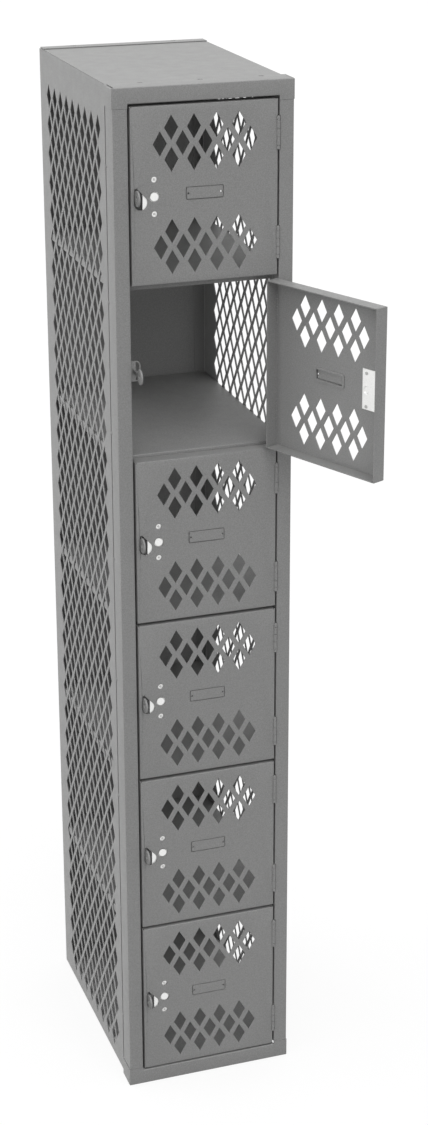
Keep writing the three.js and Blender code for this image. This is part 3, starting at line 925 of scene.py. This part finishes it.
# %% [markdown]
# ## Hinges
#
# Each hinge has five knuckles on one pin. The first, third and fifth belong to the frame and
# the other two to the door, so they are separate pieces that ride on separate bodies. The two
# outer knuckles are half as long as the others, and KNUCKLE_ENDS gives where each one ends, as
# shares of the hinge's length. A knuckle is a short tube, and spinning its cut section about
# the pin makes the tube and its bore at once, where a cylinder would still have to be drilled.
# The leaves stand in the gap beside the door.

# %% Knuckles and leaves
KNUCKLE_ENDS = (-0.5, -0.375, -0.125, 0.125, 0.375, 0.5)
KNUCKLE_GAP = 0.6 * MM
KNUCKLE_BORE = 1.65 * MM
LEAF_REACH = 21 * MM
FRAME_LEAF = (1.1 * MM, 2 * MM)
DOOR_LEAF = (-0.3 * MM, 0.6 * MM)
PIN_RADIUS = 1.4 * MM
PIN_ROUNDING = 0.45 * MM
PIN_ROUNDING_STEPS = 3
TUBE_STEPS = 24


def tube(bm, inner, outer, low, high):
    centre = ((inner + outer) / 2, 0, (low + high) / 2)
    edges = open_up(bm, [plate(bm, centre, outer - inner, high - low, LAY_TO_STAND)])
    bmesh.ops.spin(
        bm, geom=edges, cent=Vector(), axis=UPWARD, angle=2 * math.pi, steps=TUBE_STEPS,
        use_merge=True)


def hinge_half(first, leaf):
    bm = bmesh.new()
    neck = (KNUCKLE_BORE + KNUCKLE_RADIUS) / 2
    length = HINGE_LENGTH + KNUCKLE_GAP
    for start, end in list(zip(KNUCKLE_ENDS, KNUCKLE_ENDS[1:]))[first::2]:
        low = length * start + KNUCKLE_GAP / 2
        high = length * end - KNUCKLE_GAP / 2
        tube(bm, KNUCKLE_BORE, KNUCKLE_RADIUS, low, high)
        box(bm, Vector((leaf[0], neck, low)), Vector((leaf[1], NOTCH, high)))
    half = HINGE_LENGTH / 2
    box(bm, Vector((leaf[0], NOTCH, -half)), Vector((leaf[1], LEAF_REACH, half)))
    point_outwards(bm)
    return bm


print("Hinge helpers ready")

# %% Hinges and pins
def door_half():
    bm = hinge_half(1, DOOR_LEAF)
    upper = bmesh.ops.duplicate(bm, geom=[*bm.verts, *bm.edges, *bm.faces])["geom"]
    move(bm, UPWARD * -HINGE_REACH)
    moved = only(bmesh.types.BMVert, upper)
    bmesh.ops.translate(bm, vec=UPWARD * 2 * HINGE_REACH, verts=moved)
    return bm


def rod(bm, middle, radius, length):
    bmesh.ops.create_cone(
        bm, cap_ends=True, segments=TUBE_STEPS, radius1=radius, radius2=radius, depth=length,
        matrix=Matrix.Translation(middle))


def pin(low, high):
    bm = bmesh.new()
    rod(bm, (low + high) / 2, PIN_RADIUS, high.z - low.z)
    ends = [edge for edge in bm.edges if abs(edge.verts[0].co.z - edge.verts[1].co.z) < SNAP]
    round_off(bm, ends, PIN_ROUNDING, PIN_ROUNDING_STEPS)
    return bm


for number in range(1, TIERS + 1):
    for place in PLACES:
        spot = f"{place}_{number}"
        bm = hinge_half(0, FRAME_LEAF)
        move(bm, Vector((HINGE_X, FRONT, hinge_height(place, number))))
        finish_piece(f"frame_hinge_{spot}", bm, "cabinet", [f"hinge_{spot}"])
        bm = pin(*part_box(f"hinge_pin_{spot}"))
        finish_piece(f"pin_{spot}", bm, "cabinet", [f"hinge_pin_{spot}"],
                     slot="bright_steel", softening=0)

on_door("door_hinge", door_half)

# %% [markdown]
# ## Padlock staples
#
# The staple is a round eye on an arm that comes through the pear-shaped hole of the shut door,
# so a padlock in the eye keeps the door shut. The arm stands on a small plate with two rounded
# corners and a window, which is welded behind the stop lip. The web beside the window carries
# the arm. The eye and its arm are one flat blank: a ring whose rear stretch is carried straight
# back. Its edges are well rounded, because hands and padlocks rub there.

# %% Eye and plate of a staple
EYE_HOLE = 4.5 * MM
EYE_REACH = 9.5 * MM
EYE_SHEET = 3 * MM
EYE_SEGMENTS = 48
ARM_HALF = 4 * MM
STAPLE_SHEET = 2.5 * MM
STAPLE_WIDTH = 22.7 * MM
STAPLE_HEIGHT = 35 * MM
STAPLE_ROUNDING = 8 * MM
STAPLE_ROUNDING_STEPS = 6
STAPLE_RIM = 2.2 * MM
STAPLE_WEB = 14.3 * MM
STAPLE_FRONT = 27.1 * MM
STAPLE_SOFTENING = 0.55 * MM
STAPLE_SOFTENING_STEPS = 3
STAND_LEFT = Matrix(((0, 0, -1, 0), (1, 0, 0, 0), (0, 1, 0, 0), (0, 0, 0, 1)))


def eye_blank(bm):
    edges = ring(bm, Vector(), EYE_RADIUS, EYE_SEGMENTS)
    rear = [
        edge for edge in edges
        if all(vert.co.x > 0 and abs(vert.co.y) < ARM_HALF + SNAP for vert in edge.verts)
    ]
    ends = run(bm, rear, ACROSS, EYE_RADIUS)
    root = EYE_REACH + STAPLE_FRONT + STAPLE_SHEET / 2
    for vert in {vert for edge in ends for vert in edge.verts}:
        vert.co.x = root
    fill(bm, edges + ring(bm, Vector(), EYE_HOLE))
    point_outwards(bm)
    bmesh.ops.solidify(bm, geom=bm.faces, thickness=EYE_SHEET)


def staple_plate(bm):
    left = -JAMB
    blank = plate(bm, Vector((left + STAPLE_WIDTH / 2, 0, 0)), STAPLE_WIDTH, STAPLE_HEIGHT)
    outer = [vert for vert in blank.verts if vert.co.x > left + STAPLE_WIDTH / 2]
    inner = round_corners(bm, outer, STAPLE_ROUNDING, STAPLE_ROUNDING_STEPS)
    bmesh.ops.inset_individual(bm, faces=[inner], thickness=STAPLE_RIM)
    slice_at(bm, [inner], ACROSS * (left + STAPLE_WEB), ACROSS)
    inside = [face for face in bm.faces if not any(edge.is_boundary for edge in face.edges)]
    open_up(bm, [max(inside, key=lambda face: face.calc_center_median().x)])
    bmesh.ops.solidify(bm, geom=bm.faces, thickness=STAPLE_SHEET)


print("Staple helpers ready")

# %% Staples
def joined(*parts):
    whole = bmesh.new()
    for part in parts:
        mesh = mesh_of("part", part)
        whole.from_mesh(mesh)
        bpy.data.meshes.remove(mesh)
    return whole


def centre_at(bm, x, y_ends, z):
    corners = [vert.co for vert in bm.verts]
    now = (Vector(map(min, *corners)) + Vector(map(max, *corners))) / 2
    move(bm, Vector((x, sum(y_ends) / 2, z)) - now)


def staple(number):
    middle = TIER_MIDDLES[number - 1]
    low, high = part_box(f"staple_{number}")
    eye = bmesh.new()
    eye_blank(eye)
    carry(eye, STAND_LEFT)
    eye_ends = (FRONT - EYE_REACH - EYE_RADIUS, FRONT + STAPLE_FRONT + STAPLE_SHEET / 2)
    centre_at(eye, EYE_PLACE.x, eye_ends, middle + EYE_PLACE.y)
    back = bmesh.new()
    staple_plate(back)
    carry(back, LAY_TO_STAND)
    centre_at(back, low.x + STAPLE_WIDTH / 2, (FRONT + STAPLE_FRONT, high.y), middle)
    bm = joined(eye, back)
    point_outwards(bm)
    finish_piece(f"staple_eye_{number}", bm, "cabinet", [f"staple_{number}"],
                 softening=STAPLE_SOFTENING, rounds=STAPLE_SOFTENING_STEPS)


for number in range(1, TIERS + 1):
    staple(number)

# %% [markdown]
# ## Lock plates
#
# A door that has no built-in lock has its lock holes closed from behind by a bright plated
# strip. A round boss pressed into the strip stands in the large hole, and two screws with
# slotted heads hold it at the small ones. The boss is an inset of a disc in the flat strip, so
# that the strip stays one sheet. The screws are plain cylinders, and each slot is sliced into
# the head and pushed in.

# %% Lock plates
PLATE_SHEET = 1.8 * MM
PLATE_SIZE = (28.5 * MM, 68 * MM)
PLATE_SHIFT = Vector((-5.2 * MM, 1 * MM, 0))
PLATE_SETBACK = 2.2 * MM
BOSS_RADIUS = 7.6 * MM
BOSS_HEIGHT = 1.3 * MM
BOSS_SLOPE = 0.6 * MM
SCREW_RADIUS = 2.9 * MM
SCREW_HEIGHT = 1.1 * MM
SCREW_SLOT = 0.4 * MM
SCREW_SLOT_DEPTH = 0.6 * MM
NUB_RADIUS = 2 * MM
NUB_HEIGHT = 0.8 * MM


def lock_plate():
    bm = bmesh.new()
    edges = open_up(bm, [plate(bm, LOCK_PLACE + PLATE_SHIFT, *PLATE_SIZE)])
    boss = disc(bm, Matrix.Translation(LOCK_PLACE), BOSS_RADIUS, HOLE_SEGMENTS)
    fill(bm, edges + list(boss.edges))
    emboss(bm, [boss], BOSS_SLOPE, BOSS_HEIGHT, UPWARD)
    move(bm, UPWARD * -PLATE_SETBACK)
    stand(bm)
    settle(bm, -BACKWARD)
    return bm


def plate_screws():
    bm = bmesh.new()
    behind = PLATE_SETBACK + PLATE_SHEET
    for spacing in (-LOCK_SPACING, LOCK_SPACING):
        for level, radius, height in (
            (-behind - SCREW_HEIGHT, SCREW_RADIUS, SCREW_HEIGHT),
            (-PLATE_SETBACK, NUB_RADIUS, NUB_HEIGHT),
        ):
            rod(bm, LOCK_PLACE + spacing + UPWARD * (level + height / 2), radius, height)
    for middle in [face.calc_center_median() for face in looking(bm.faces, -UPWARD)]:
        if middle.z < -behind:
            slot_screw(bm, middle)
    stand(bm)
    point_outwards(bm)
    return bm


def slot_screw(bm, middle):
    def away(face):
        return (face.calc_center_median() - middle).length

    for side in (-SCREW_SLOT, SCREW_SLOT):
        head = [face for face in looking(bm.faces, -UPWARD) if away(face) < SCREW_RADIUS]
        slice_at(bm, head, middle + ACROSS * side, ACROSS)
    slot = min(bm.faces, key=away)
    bmesh.ops.inset_individual(bm, faces=[slot], thickness=0, depth=-SCREW_SLOT_DEPTH)


on_door("lock_strip", lock_plate, "lock_plate", slot="zinc_plate", thickness=PLATE_SHEET)
on_door("lock_screws", plate_screws, slot="bright_steel")

# %% [markdown]
# ## Finishes
#
# A material is a tree of nodes, and most of what the trees here do is the same for every
# finish, so it is built once as node groups. A few helpers keep the trees short to write:
# `node` adds a node and fills or links its sockets, `group` starts a group with named inputs
# and outputs, and `spread` stretches the middle half of a noise over a wanted range.

# %% Helpers that build node trees
NOISE_RANGE = (0.25, 0.75)


def node(tree, kind, sockets, **settings):
    made = set_up(tree.nodes.new("ShaderNode" + kind), **settings)
    for name, value in sockets.items():
        if isinstance(value, bpy.types.NodeSocket):
            tree.links.new(value, made.inputs[name])
        else:
            made.inputs[name].default_value = value
    return made


def group(name, inputs, outputs):
    tree = bpy.data.node_groups.new(name, "ShaderNodeTree")
    for label, kind in inputs.items():
        tree.interface.new_socket(label, in_out="INPUT", socket_type=kind)
    for label, kind in outputs.items():
        tree.interface.new_socket(label, in_out="OUTPUT", socket_type=kind)
    return tree, tree.nodes.new("NodeGroupInput").outputs, tree.nodes.new("NodeGroupOutput").inputs


def noise(tree, vector, scale, detail):
    sockets = {"Vector": vector, "Scale": scale, "Detail": detail}
    return node(tree, "TexNoise", sockets).outputs["Fac"]


def spread(tree, value, low, high, given=NOISE_RANGE):
    ends = {"From Min": given[0], "From Max": given[1], "To Min": low, "To Max": high}
    return node(tree, "MapRange", {"Value": value, **ends}).outputs["Result"]


def maths(tree, operation, *values):
    return node(tree, "Math", dict(enumerate(values)), operation=operation).outputs[0]


print("Node helpers ready")

# %% [markdown]
# No finish has exactly one colour. Pigment and dust leave fine flecks, and a large sheet drifts
# a little lighter and darker from end to end. The group `uneven_colour` multiplies a colour by
# both. It reads Object coordinates, and since every piece sits at the origin, the drift runs on
# from one piece to the next as it does on an object that was coated in one go.

# %% Group for uneven colour
VALUE, COLOUR, VECTOR = "NodeSocketFloat", "NodeSocketColor", "NodeSocketVector"
FLECK_DETAIL = 2
DRIFT_SCALE = 2.2
DRIFT_DETAIL = 3


def uneven_colour():
    tree, given, out = group(
        "uneven_colour",
        {"Vector": VECTOR, "Colour": COLOUR, "Fleck Scale": VALUE, "Fleck": VALUE, "Drift": VALUE},
        {"Colour": COLOUR},
    )
    flecks = noise(tree, given["Vector"], given["Fleck Scale"], FLECK_DETAIL)
    drift = noise(tree, given["Vector"], DRIFT_SCALE, DRIFT_DETAIL)
    parts = [
        maths(tree, "MULTIPLY_ADD", spread(tree, pattern, -1, 1), amount, 1)
        for pattern, amount in ((flecks, given["Fleck"]), (drift, given["Drift"]))
    ]
    total = maths(tree, "MULTIPLY", *parts)
    sockets = {0: given["Colour"], "Scale": total}
    scaled = node(tree, "VectorMath", sockets, operation="SCALE")
    tree.links.new(scaled.outputs["Vector"], out["Colour"])
    return tree


UNEVEN_COLOUR = uneven_colour()
print("Group:", UNEVEN_COLOUR.name)

# %% [markdown]
# No finish is perfectly smooth either. Powder coat dries with a faint orange peel, and plated
# strip keeps the long marks of the rollers. The group `uneven_surface` puts out a height and a
# roughness. Its stretch input squeezes the pattern along the height of the locker, so that one
# group makes round dimples or long streaks.

# %% Group for uneven surface
RELIEF_DETAIL = 1.5
PATCH_SCALE = 45
PATCH_DETAIL = 4


def uneven_surface():
    values = dict.fromkeys(("Relief Scale", "Smoothest", "Roughest"), VALUE)
    tree, given, out = group(
        "uneven_surface",
        {"Vector": VECTOR, "Stretch": VECTOR, **values},
        {"Height": VALUE, "Roughness": VALUE},
    )
    sockets = {0: given["Vector"], 1: given["Stretch"]}
    stretched = node(tree, "VectorMath", sockets, operation="MULTIPLY").outputs["Vector"]
    relief = noise(tree, stretched, given["Relief Scale"], RELIEF_DETAIL)
    patches = noise(tree, stretched, PATCH_SCALE, PATCH_DETAIL)
    tree.links.new(relief, out["Height"])
    tree.links.new(spread(tree, patches, given["Smoothest"], given["Roughest"]), out["Roughness"])
    return tree


UNEVEN_SURFACE = uneven_surface()
print("Group:", UNEVEN_SURFACE.name)

# %% [markdown]
# Three finishes dress the locker. The steel is powder coated in a satin middle grey. The lock
# plates are bright zinc, rolled along their length, which mirrors the white room and so looks
# almost white. The hinge pins and screws are bare steel.

# %% Finishes
def finish(name, colour, metallic, fleck, drift, stretch, relief, relief_height, roughness):
    material = bpy.data.materials.new(name)
    material.use_nodes = True
    tree = material.node_tree
    shader = tree.nodes["Principled BSDF"]
    place = node(tree, "TexCoord", {}).outputs["Object"]
    tint = node(
        tree, "Group", node_tree=UNEVEN_COLOUR,
        sockets={"Vector": place, "Colour": (*colour, 1), "Drift": drift,
                 "Fleck Scale": fleck[0], "Fleck": fleck[1]})
    grain = node(
        tree, "Group", node_tree=UNEVEN_SURFACE,
        sockets={"Vector": place, "Stretch": stretch, "Relief Scale": relief,
                 "Smoothest": roughness[0], "Roughest": roughness[1]})
    dimples = {"Height": grain.outputs["Height"], "Distance": relief_height}
    bump = node(tree, "Bump", dimples)
    tree.links.new(tint.outputs["Colour"], shader.inputs["Base Color"])
    tree.links.new(grain.outputs["Roughness"], shader.inputs["Roughness"])
    tree.links.new(bump.outputs["Normal"], shader.inputs["Normal"])
    shader.inputs["Metallic"].default_value = metallic
    print("Finish:", name)
    return material


FINISHES = {
    "painted_steel": finish(
        "satin_powder_coat", colour=(0.25, 0.25, 0.248), metallic=0, fleck=(700, 0.2), drift=0.03,
        stretch=(1, 1, 1), relief=360, relief_height=0.05 * MM, roughness=(0.42, 0.54)),
    "zinc_plate": finish(
        "rolled_zinc", colour=(0.87, 0.87, 0.86), metallic=0.9, fleck=(500, 0.05), drift=0.03,
        stretch=(1, 1, 0.06), relief=1400, relief_height=0.02 * MM, roughness=(0.3, 0.42)),
    "bright_steel": finish(
        "drawn_steel", colour=(0.5, 0.5, 0.49), metallic=1, fleck=(900, 0.06), drift=0.04,
        stretch=(1, 1, 0.1), relief=1800, relief_height=0.02 * MM, roughness=(0.28, 0.4)),
}
for piece in PIECES:
    piece.data.materials.append(FINISHES[piece["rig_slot"]])

# %% [markdown]
# ## Floor and background
#
# The photo shows the locker on plain white. White that comes from stronger lamps would bleach
# the locker too, so the world and the floor are only white where something looks at them: Light
# Path tells a camera, glossy or transmitted ray from one that gathers light. The floor keeps a
# share of its own shading, in which the shadow under the locker stays.

# %% Floor and background
FLOOR_SIZE = 80
FLOOR_GREY = 0.9
FLOOR_BOUNCE = 0.3
FLOOR_GLOW = 0.85
FLOOR_PATCH_SCALE = 3
FLOOR_PATCH_DETAIL = 2
FLOOR_PATCHES = (0.98, 1.02)
WORLD_LIGHT = 0.56


def looked_at(tree):
    path = node(tree, "LightPath", {}).outputs
    either = maths(tree, "MAXIMUM", path["Is Camera Ray"], path["Is Glossy Ray"])
    return maths(tree, "MAXIMUM", either, path["Is Transmission Ray"])


def floor_material():
    material = bpy.data.materials.new("white_floor")
    material.use_nodes = True
    tree = material.node_tree
    tree.nodes.clear()
    place = node(tree, "TexCoord", {}).outputs["Object"]
    clouds = noise(tree, place, FLOOR_PATCH_SCALE, FLOOR_PATCH_DETAIL)
    patches = spread(tree, clouds, *FLOOR_PATCHES)
    seen = looked_at(tree)
    grey = spread(tree, seen, FLOOR_BOUNCE, FLOOR_GREY, given=(0, 1))
    matt = node(tree, "BsdfDiffuse", {"Color": maths(tree, "MULTIPLY", grey, patches)})
    glow = node(tree, "Emission", {"Color": (1, 1, 1, 1), "Strength": 1})
    share = maths(tree, "MULTIPLY", seen, FLOOR_GLOW)
    mix = node(tree, "MixShader", {0: share, 1: matt.outputs[0], 2: glow.outputs[0]})
    node(tree, "OutputMaterial", {"Surface": mix.outputs[0]})
    return material


bm = bmesh.new()
plate(bm, Vector(), FLOOR_SIZE, FLOOR_SIZE)
floor = add_object("floor", mesh_of("floor", bm))
floor.data.materials.append(floor_material())

world = bpy.data.worlds.new("white_room")
world.use_nodes = True
room = world.node_tree
background = room.nodes["Background"]
background.inputs["Color"].default_value = (1, 1, 1, 1)
strength = spread(room, looked_at(room), WORLD_LIGHT, 1, given=(0, 1))
room.links.new(strength, background.inputs["Strength"])
bpy.context.scene.world = world
bpy.context.scene.view_settings.view_transform = "Standard"
print("Floor:", FLOOR_SIZE, "metres across")

# %% [markdown]
# ## Light
#
# The levels in the photo tell where its light came from. The top is lighter than the left side,
# and that is lighter than the front, so much of the light falls from above and from the left.
# `top` shines straight down, `rim` comes from the upper left and from behind, `left` strikes the
# side almost level, and `front` comes from the front, 45 degrees above the doors. All are as
# broad as soft boxes, so no shadow has a hard edge. Their strengths were fitted to levels read
# in the photo.

# %% Lamps
LAMP_SPREAD = math.radians(50)
LAMPS = {
    "top": (1.1, Vector((0, 0, -1))),
    "rim": (0.98, Vector((0.8, -0.5, -0.3))),
    "left": (0.6, Vector((1, 0, -0.15))),
    "front": (1.12, Vector((0, 0.7, -0.7))),
}

for name, (strength, heading) in LAMPS.items():
    data = bpy.data.lights.new(name, "SUN")
    data.energy = strength
    data.angle = LAMP_SPREAD
    lamp = add_object(name, data)
    lamp.rotation_euler = heading.to_track_quat("-Z", "Y").to_euler()
    print("Lamp:", name, strength)
